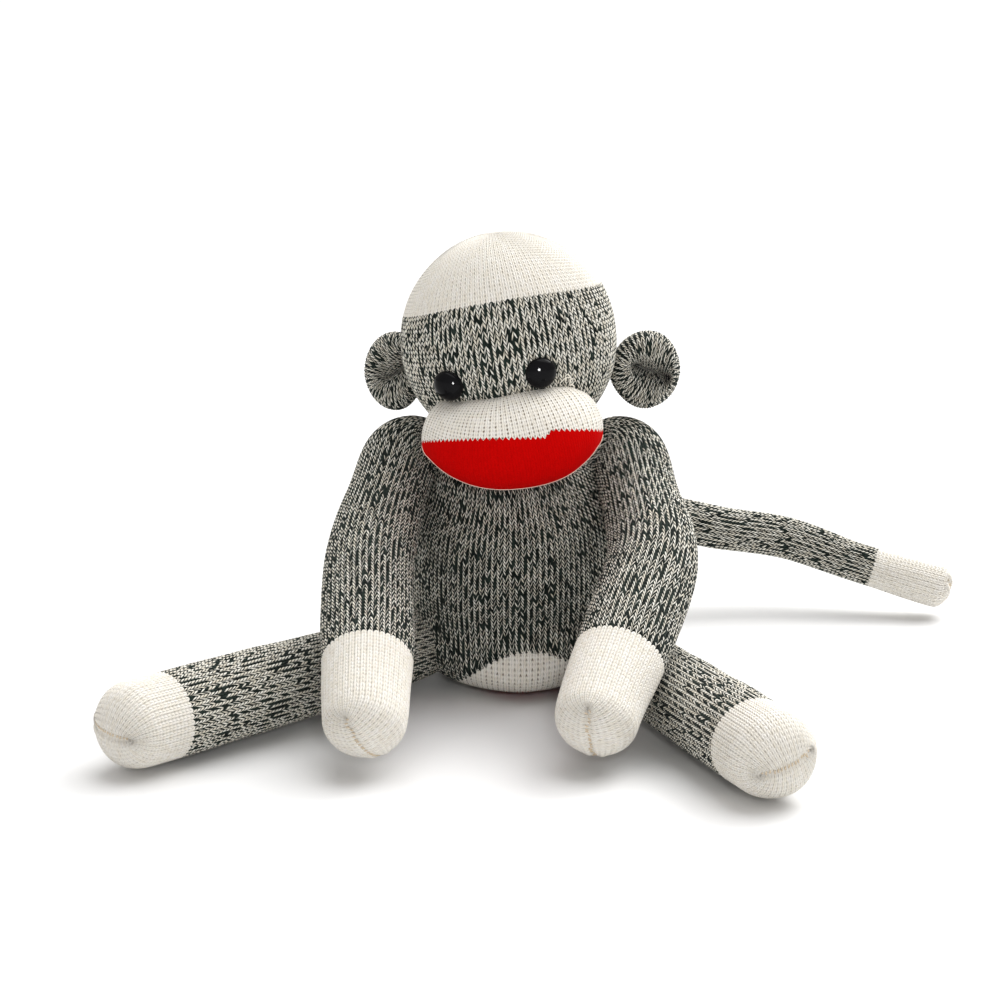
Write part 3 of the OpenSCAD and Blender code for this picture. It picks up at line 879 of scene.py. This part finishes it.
def shapeHead(values, centre):
    axis = np.array(values["axis"])
    axis /= np.linalg.norm(axis)
    radius, wales = values["radius"], values["wales"]
    side = np.array((1.0, 0.0, 0.0))
    side -= axis * side.dot(axis)
    side /= np.linalg.norm(side)
    depth = np.cross(axis, side)
    turn = 2 * np.pi * np.arange(wales) / wales
    middle = [centre + np.outer(np.cos(turn) * radius, side) + np.outer(np.sin(turn) * radius, depth)]
    low = capRings(centre, -axis, side, depth, radius, radius, values["neckSlit"], values["capRows"], wales)
    high = capRings(centre, axis, side, depth, radius, radius, values["crownSlit"], values["capRows"], wales)
    piece, _ = ringsToSkin("head_marl", low[::-1] + middle + high, wales)
    return piece


def sewHead(values):
    low, high = nodeBox("head_knit")
    centre = np.array(((low.x + high.x) / 2, (low.y + high.y) / 2, values["middleZ"]))
    head = shapeHead(values, centre)
    lumps(head, values["lump"], 30.0, 8)
    stuff(head, cap=values["cap"])
    smooth(head)
    raiseColumns(head)
    # the row where the crown starts, from where that row stands on the finished skin
    rows = faceRows(head)
    rise = (faceMiddles(head) - centre) @ np.array(Vector(values["axis"]).normalized())
    crownRow = float(round(np.median(rows[np.abs(rise - values["crownFrom"]) < 0.8])))
    crown = cutOff(head, rows > crownRow, "crown_cream")
    knit = makeMarl("knit_head", crownRow, values["paleShareAndShade"], values["holeShadeShare"])
    for piece, slotName, nodes in (
        (head, "marl_knit", ["head_knit", "head_stuffing"]),
        (crown, "cream_knit", ["crown_knit", "crown_seam"]),
    ):
        dress(piece, knit)
        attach(piece, "head")
        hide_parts(*nodes)
    return head, centre


head, headCentre = sewHead(headValues)

# muzzle, the heel of the second sock
print("stage: muzzle")
muzzleValues = {
    "knots": [(-32.5, -51, 124.5, 13.5), (-21, -57, 121.8, 18.3), (-6, -62.0, 121.3, 20.6),
              (10, -60.5, 124.2, 21.4), (21.5, -56.5, 127.4, 19.0), (28.5, -51.5, 128.6, 14.3)],
    "wales": 56,
    "seamAlong": (0, 0, 1),
    "startLength": 5.5,
    "startSlit": 0.3,
    "endLength": 5,
    "endSlit": 0.3,
    "ringStep": 1.3,
    "capRows": 6,
    "boxTop": 2.0,
    "lipZ": 128.0,
    "lipTip": 0.25,
    "jogAt": 12.5,
    "jogHigh": 3.4,
    "columnWidth": 1.7,
    "rowHeight": 1.75,
    "fill": 0.9,
}


def turnStitches(piece, values):
    # the rows of the muzzle run along it, so its columns go round it from top to bottom
    stitches = readStitches(piece.data)
    radius = max(item[3] for item in values["knots"])
    columns = stitches[:, 1] * knitValues["course"] / values["columnWidth"]
    rowsRound = stitches[:, 0] / values["wales"] * 2 * math.pi * radius / values["rowHeight"]
    turned = np.stack([columns, rowsRound], axis=1).astype(np.float32)
    piece.data.uv_layers["stitches"].data.foreach_set("uv", turned.ravel())


def lipField(points, values):
    # above zero is cream; the join steps up a row towards the monkey's left
    jog = np.clip((points[:, 0] - values["jogAt"]) / 3, 0, 1)
    lip = values["lipZ"] + 0.02 * points[:, 0] + values["jogHigh"] * jog
    return points[:, 2] - lip + values["lipTip"] * (points[:, 1] + 84)


def makeMuzzleKnit(name, sheen, shine, bumpStrength):
    material = newMaterial(name)
    tree = material.node_tree
    pattern = stitchPattern(tree)
    field = tree.nodes.new("ShaderNodeAttribute")
    field.attribute_name = "lip"
    teeth = step(tree, "MULTIPLY", step(tree, "SUBTRACT", pattern["away"], 0.25), 3.0)
    red = step(tree, "LESS_THAN", step(tree, "ADD", field.outputs["Fac"], teeth), 0.0)
    colour = mixColours(tree, red, creamColour(tree, pattern, 0.95), redColour(tree, pattern))
    # painted shade in the gaps, lighter on the red lips
    gapShadeDepth = step(tree, "MULTIPLY_ADD", red, -0.12, 0.2)
    return finishKnit(material, colour, pattern, gapShadeDepth, sheen, shine, bumpStrength)


def sewMuzzle(values):
    muzzle, _, _ = sewTube("muzzle_pad_cream", values)
    turnStitches(muzzle, values)
    lumps(muzzle, 0.5, 22.0, 5)
    stuff(muzzle, cap=1.2)
    smooth(muzzle)
    points = readPoints(muzzle) / mm
    writeField(muzzle, "lip", lipField(points, values))
    lips = cutOff(muzzle, lipField(faceMiddles(muzzle), values) < 0, "muzzle_pad_red")
    for piece, knit, slotName, nodes in (
        (muzzle, makeMuzzleKnit("knit_muzzle", 0.15, 0.12, 0.6), "cream_knit",
         ["muzzle_cream", "muzzle_stuffing", "muzzle_stitching"]),
        (lips, makeMuzzleKnit("knit_lips", 0.0, 0.03, 0.25), "red_knit", ["muzzle_red"]),
    ):
        dress(piece, knit)
        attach(piece, "head")
        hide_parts(*nodes)
    return points


muzzlePoints = sewMuzzle(muzzleValues)

# the sewing round the muzzle: an edge of thread below, and loose ends above
edgeValues = {
    "thick": 0.34,
    "stitches": 70,
    "tone": ((0.86, 0.50, 0.40), (0.95, 0.80, 0.68)),
    # where each loose end starts on the face, across and up
    "loose": [(21, 145.0), (24, 147.5), (27, 144.2), (29.5, 147.0), (31.5, 142.0), (17.5, 143.0)],
    "looseThick": 0.3,
    "looseTone": ((0.84, 0.78, 0.66), (0.98, 0.95, 0.88)),
}


def outlineBelow(points, count):
    # the lower edge of the muzzle as it looks from in front and a little above
    high = points[:, 2] + 0.31 * points[:, 1]
    line = []
    for angle in np.linspace(math.radians(188), math.radians(352), count):
        line.append(points[np.argmax(points[:, 0] * math.cos(angle) + high * math.sin(angle))])
    line = np.array(line)
    for _ in range(3):
        line[1:-1] = (line[:-2] + line[1:-1] * 2 + line[2:]) / 4
    return line


def looseThread(start, seed):
    # a short curl lying on the face
    chance = random.Random(seed)
    place = Vector((start[0], headCentre[1] - 43, start[1]))
    angle = chance.uniform(0, 2 * math.pi)
    turn = chance.choice((-1, 1)) * chance.uniform(0.35, 0.75)
    points = []
    for _ in range(9):
        spot, outward = surfaceAt(head, place)
        points.append(spot + outward * 0.45)
        place = spot + Vector((math.cos(angle), 0, math.sin(angle))) * 0.95
        angle += turn + chance.uniform(-0.25, 0.25)
    return points


def sewMuzzleEdge(values):
    line = [Vector(point) for point in outlineBelow(muzzlePoints, values["stitches"])]
    edge = tubeThrough("muzzle_thread", [line], values["thick"])
    curls = [looseThread(start, 60 + spot) for spot, start in enumerate(values["loose"])]
    looseEnds = tubeThrough("muzzle_loose_ends", curls, values["looseThick"])
    for piece, tone in ((edge, values["tone"]), (looseEnds, values["looseTone"])):
        dress(piece, makeThread(piece.name, tone))
        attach(piece, "head")


sewMuzzleEdge(edgeValues)

# ears
print("stage: ears")
earValues = {
    # across and along: the outline; then how far the rim and the hollow stand
    "rings": [(1, -7), (6, -7.5), (11, -6.5), (15, -3.5), (17.0, 0.5), (16.2, 4.5), (13.2, 7.4),
              (9.8, 7.0), (7.2, 4.4), (5.4, 0.6), (3.6, -3.4)],
    "wales": 40,
    "rimAt": 0.62,
    "creaseLong": 7.0,
    "creaseOut": 5.5,
    "lump": 0.8,
    "relief": 0.18,
    "fill": 0.85,
    "left": {"centre": (58.2, -10, 144.0), "facing": (0.15, -0.98, -0.05), "crease": -0.35, "wide": 0.93},
    "right": {"centre": (-54, -6, 142.5), "facing": (-0.32, -0.94, 0.12), "crease": 2.6, "wide": 0.84},
}


def shapeEar(sideName, values):
    own = values[sideName]
    facing = Vector(own["facing"]).normalized()
    up = Vector((0, 0, 1))
    up = (up - facing * up.dot(facing)).normalized()
    out = up.cross(facing).normalized()
    if out.x * sideNames[sideName] < 0:
        out = -out
    creaseWay = out * math.cos(own["crease"]) + up * math.sin(own["crease"])
    acrossWay = facing.cross(creaseWay).normalized()
    centre = Vector(own["centre"])
    turn = 2 * np.pi * np.arange(values["wales"]) / values["wales"]
    path = smoothPath([(across, 0, along, 0) for across, along in values["rings"]], 1.7)
    rings = []
    for spot, (across, _, along, _) in enumerate(path):
        # past the rim, the round hollow closes into a crease
        inner = max(0, (spot / len(path) - values["rimAt"]) / (1 - values["rimAt"]))
        wide, thin = across + values["creaseLong"] * inner, across * (1 - 0.9 * inner)
        shift = creaseWay * (values["creaseOut"] * inner)
        points = []
        for angle in turn:
            point = creaseWay * math.cos(angle) * wide + acrossWay * math.sin(angle) * thin
            squeeze = point.dot(out)
            point = point + out * squeeze * (own["wide"] - 1) + up * point.dot(up) * 0.05
            points.append(centre + shift + point + facing * along)
        rings.append(np.array(points))
    ear, _ = ringsToSkin("ear_" + sideName, rings, values["wales"])
    cleanMesh(ear.data, fillEnds=True)
    return ear


def sewEar(sideName, values):
    ear = shapeEar(sideName, values)
    lumps(ear, values["lump"], 14.0, 11 + sideNames[sideName])
    stuff(ear, cap=values["lump"])
    smooth(ear)
    raiseColumns(ear, values["relief"])
    dress(ear, plainMarl)
    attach(ear, "ear_" + sideName)
    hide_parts("ear_knit_" + sideName, "ear_stuffing_" + sideName, "ear_stitching_" + sideName)


for sideName in sideNames:
    sewEar(sideName, earValues)

# button eyes
print("stage: eyes")
eyeValues = {
    "radius": 6.9,
    "dome": 4.7,
    "rim": 0.5,
    "cutAt": -1.6,
    "foot": 0.7,
    "left": ((10.9, -65.6, 152.6), (0.284, -0.942, -0.179)),
    "right": ((-28.8, -61.2, 146.0), (-0.528, -0.78, -0.336)),
}


def makeEyeGloss():
    material = newMaterial("eye_gloss")
    tree = material.node_tree
    shader = tree.nodes["Principled BSDF"]
    scuff = softNoise(tree, 900.0, 4.0)
    tone = mixColours(tree, scuff, (0.001, 0.001, 0.0012), (0.002, 0.002, 0.0022))
    tree.links.new(tone, shader.inputs["Base Color"])
    tree.links.new(step(tree, "MULTIPLY_ADD", scuff, 0.05, 0.03), shader.inputs["Roughness"])
    shader.inputs["IOR"].default_value = 1.2
    shader.inputs["Specular IOR Level"].default_value = 0.3
    return material


def turnButton(sideName, values):
    place, facing = values[sideName]
    bpy.ops.object.select_all(action="DESELECT")
    bpy.ops.mesh.primitive_uv_sphere_add(segments=48, ring_count=24, radius=values["radius"] * mm)
    eye = bpy.context.object
    eye.name = "eye_button_" + sideName
    eye.scale = (1, 1, values["dome"] / values["radius"])
    bpy.ops.object.transform_apply(location=False, rotation=False, scale=True)
    bpy.ops.object.mode_set(mode="EDIT")
    bpy.ops.mesh.select_all(action="SELECT")
    bpy.ops.mesh.bisect(plane_co=(0, 0, values["cutAt"] * mm), plane_no=(0, 0, 1), use_fill=True,
                        clear_inner=True)
    bpy.ops.mesh.extrude_region_move(TRANSFORM_OT_translate={"value": (0, 0, -values["foot"] * mm)})
    bpy.ops.mesh.select_all(action="SELECT")
    bpy.ops.mesh.normals_make_consistent(inside=False)
    bpy.ops.object.mode_set(mode="OBJECT")
    rounded = eye.modifiers.new("edge", "BEVEL")
    rounded.width = values["rim"] * mm
    rounded.segments = 3
    rounded.limit_method = "ANGLE"
    bpy.ops.object.modifier_apply(modifier="edge")
    turned = Vector(facing).to_track_quat("Z", "Y").to_matrix().to_4x4()
    eye.data.transform(Matrix.Translation(Vector(place) * mm) @ turned)
    return eye


def makeEyes(values):
    gloss = makeEyeGloss()
    # a lamp that only the eyes see, for the small bright spots in them
    catchLamp = addSoftbox("lamp_catch", (0.14, -1.15, 0.30), (0, 0, 0.14), 0.26, 45)
    eyesOnly = bpy.data.collections.new("eyes_only")
    catchLamp.light_linking.receiver_collection = eyesOnly
    for sideName in sideNames:
        eye = turnButton(sideName, values)
        eyesOnly.objects.link(eye)
        dress(eye, gloss)
        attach(eye, "head")
        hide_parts("eye_" + sideName)


makeEyes(eyeValues)

# arms and hands
print("stage: arms")
armValues = {
    "radius": 17.3, "elbowRadius": 19.6, "handRadius": 17.4, "wales": 46, "handLength": 49,
    # the marl's own mix, made darker with fewer pale strands to paint the shade on the arms
    "paleShareAndShade": 0.34,
    "bow": {"left": (-1.5, 1.0, 1.0), "right": (0.3, 1.0, 0.0)},
    "handShift": {"left": (3.5, 6, 3.5), "right": (0.5, 6, 3.5)},
    "tipInset": 16.5, "handSlit": 0.8, "bend": 15, "fill": 0.85,
    "seam": {"left": (0.08, 0.3, 0.95), "right": (0.4, 0.0, -0.9)},
}


def tipCentre(node, radius, side):
    low, high = nodeBox(node)
    x = low.x + radius if side < 0 else high.x - radius
    return Vector((x, low.y + radius, low.z + radius))


def sewLimb(name, tipName, values, seed):
    piece, rows, seam = sewTube(name, values)
    finishTube(piece, values, seed, seam)
    total = rows[-1]
    row = float(round(total - values["tipLength"] / knitValues["course"]))
    tip = cutOff(piece, faceRows(piece) > row, tipName)
    thread = sewStitches(tipName + "_seam", seam, tip, seed)
    dress(thread, threadFinish)
    return piece, tip, row, thread


def sewArm(sideName, values):
    side = sideNames[sideName]
    shoulder = jointAt["arm_raise_" + sideName]
    elbow = jointAt["elbow_bend_" + sideName]
    hand = tipCentre("hand_knit_" + sideName, values["tipInset"], -1 if sideName == "left" else 1)
    if sideName == "right":
        low, high = nodeBox("hand_knit_right")
        hand.x = (low.x + high.x) / 2
    hand += Vector(values["handShift"][sideName])
    bow = Vector(values["bow"][sideName])
    inside = shoulder + Vector((-20 * side, 3, 0))
    top = shoulder + Vector((-5 * side, 1, 4))
    limb = {
        "knots": [
            knot(inside, values["radius"] - 5),
            knot(top, values["radius"] - 0.8),
            knot(towards(shoulder, elbow, 0.4) + bow * 0.8, values["radius"] + 0.4),
            knot(elbow + bow, values["elbowRadius"]),
            knot(towards(elbow, hand, 0.45) + bow * 0.6, values["elbowRadius"] + 0.2),
            knot(hand + Vector((0, 3.5, 4.0)), values["handRadius"] + 0.5),
            knot(hand + Vector((min(0, -2.5 * side), -4.0, -0.5)), values["handRadius"]),
        ],
        "wales": values["wales"],
        "seamAlong": values["seam"][sideName],
        "startLength": 9, "startSlit": 0.3,
        "endLength": 13.0, "endSlit": values["handSlit"],
        "ringStep": 3.2, "tipLength": values["handLength"] + 3,
    }
    arm, palm, row, thread = sewLimb("arm_" + sideName, "hand_" + sideName, limb, 20 + side)
    knit = makeMarl("knit_arm_" + sideName, row, values["paleShareAndShade"])
    dress(arm, knit)
    dress(palm, knit)
    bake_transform(arm)
    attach(palm, "forearm_" + sideName)
    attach(thread, "forearm_" + sideName)
    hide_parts(*[part + sideName for part in (
        "shoulder_stuffing_", "upper_arm_knit_", "upper_arm_stuffing_", "forearm_knit_",
        "forearm_stuffing_")])
    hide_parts("hand_knit_" + sideName)


for sideName in sideNames:
    sewArm(sideName, armValues)

# legs and feet
print("stage: legs")
legValues = {
    "radius": 16.5, "kneeRadius": 17.8, "footRadius": 18.6, "wales": 46, "footLength": 36,
    # the marl's own mix, made paler on the legs to paint the light on them
    "tipInset": 19.5, "footSlit": 0.6, "bend": 15, "paleShareAndShade": 0.61, "fill": 0.85,
    "seam": {"left": (0.95, 0.1, 0.32), "right": (0.9, -0.2, -0.1)},
}


def sewLeg(sideName, values):
    side = sideNames[sideName]
    hip = jointAt["leg_spread_" + sideName]
    knee = jointAt["knee_bend_" + sideName]
    foot = tipCentre("foot_knit_" + sideName, values["tipInset"], side) + Vector((-2 * side, 3, -0.5))
    inner = Vector((hip.x, hip.y + 4, hip.z + 1))
    limb = {
        "knots": [
            knot(inner, values["radius"] - 1),
            knot(towards(hip, knee, 0.5), values["radius"] + 0.3),
            knot(knee, values["kneeRadius"]),
            knot(towards(knee, foot, 0.5), values["kneeRadius"] + 0.6),
            knot(foot, values["footRadius"]),
        ],
        "wales": values["wales"],
        "seamAlong": values["seam"][sideName],
        "startLength": 14, "startSlit": 0.3,
        "endLength": 15.5, "endSlit": values["footSlit"],
        "ringStep": 3.2, "tipLength": values["footLength"] + 2,
    }
    leg, sole, row, thread = sewLimb("leg_" + sideName, "foot_" + sideName, limb, 30 + side)
    knit = makeMarl("knit_leg_" + sideName, row, values["paleShareAndShade"])
    dress(leg, knit)
    dress(sole, knit)
    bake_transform(leg)
    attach(sole, "shin_" + sideName)
    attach(thread, "shin_" + sideName)
    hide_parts(*[part + sideName for part in (
        "hip_stuffing_", "thigh_knit_", "thigh_stuffing_", "shin_knit_", "shin_stuffing_")])
    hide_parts("foot_knit_" + sideName)


for sideName in sideNames:
    sewLeg(sideName, legValues)

# tail
print("stage: tail")
tailValues = {
    "radius": 11.6, "midRadius": 10.8, "tipRadius": 9.6, "endRadius": 10.8, "wales": 28,
    "tipLength": 44, "bend": 13, "fill": 0.8,
    "sag": (2.5, 2.5, -0.5, -3.5, -4.5, -3.5),  # how far each knot lies above the line of the joints
}


def sewTail(values):
    root, first, second = (jointAt[name] for name in ("tail_swing", "tail_bend", "tail_curl"))
    low, high = nodeBox("tail_tip_knit")
    end = Vector((high.x - 10, (low.y + high.y) / 2 - 4, low.z + 8.6))
    sag = values["sag"]
    limb = {
        "knots": [
            knot(root + Vector((0, -4, 1)), values["radius"]),
            knot(towards(root, first, 0.5) + Vector((0, 0, sag[0])), values["radius"]),
            knot(first + Vector((0, 0, sag[1])), values["midRadius"] + 0.5),
            knot(towards(first, second, 0.5) + Vector((0, 0, sag[2])), values["midRadius"]),
            knot(second + Vector((0, 0, sag[3])), values["midRadius"] - 0.4),
            knot(towards(second, end, 0.45) + Vector((0, 0, sag[4])), values["tipRadius"]),
            knot(end + Vector((0, 0, sag[5])), values["endRadius"]),
        ],
        "wales": values["wales"], "seamAlong": (0.2, -0.6, 0.5),
        "startLength": 9, "startSlit": 0.3, "endLength": 6.5, "endSlit": 0.75,
        "ringStep": 3.0, "tipLength": values["tipLength"], "lump": 0.5, "cap": 0.9,
    }
    tail, tip, row, thread = sewLimb("tail_base", "tail_tip", limb, 41)
    halfway = towards(first, second, 0.5)
    direction = (second - first).normalized()
    beyond = (faceMiddles(tail) - np.array(halfway)) @ np.array(direction) > 0
    outer = cutOff(tail, beyond, "tail_end")
    knit = makeMarl("knit_tail", row)
    for piece, slotName in ((tail, "marl_knit"), (outer, "marl_knit"), (tip, "cream_knit")):
        dress(piece, knit)
    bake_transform(tail)
    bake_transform(outer)
    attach(tip, "tail_end")
    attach(thread, "tail_end")
    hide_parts("tail_root_stuffing", "tail_base_knit", "tail_base_stuffing")
    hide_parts("tail_mid_knit", "tail_mid_stuffing", "tail_end_knit", "tail_end_stuffing")
    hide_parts("tail_tip_knit")


sewTail(tailValues)

# the eye washers stay as they are in the CAD
print("stage: washers")


def makeWasher():
    material = newMaterial("washer_moulding")
    tree = material.node_tree
    shader = tree.nodes["Principled BSDF"]
    grain = softNoise(tree, 1500.0, 3.0)
    tree.links.new(mixColours(tree, grain, (0.82, 0.82, 0.8), (0.9, 0.9, 0.88)), shader.inputs["Base Color"])
    tree.links.new(step(tree, "MULTIPLY_ADD", grain, 0.2, 0.4), shader.inputs["Roughness"])
    return material


washers = frame["nodes"]["eye_washers"]
washers.data.materials.clear()
washers.data.materials.append(makeWasher())

print("stage: done")
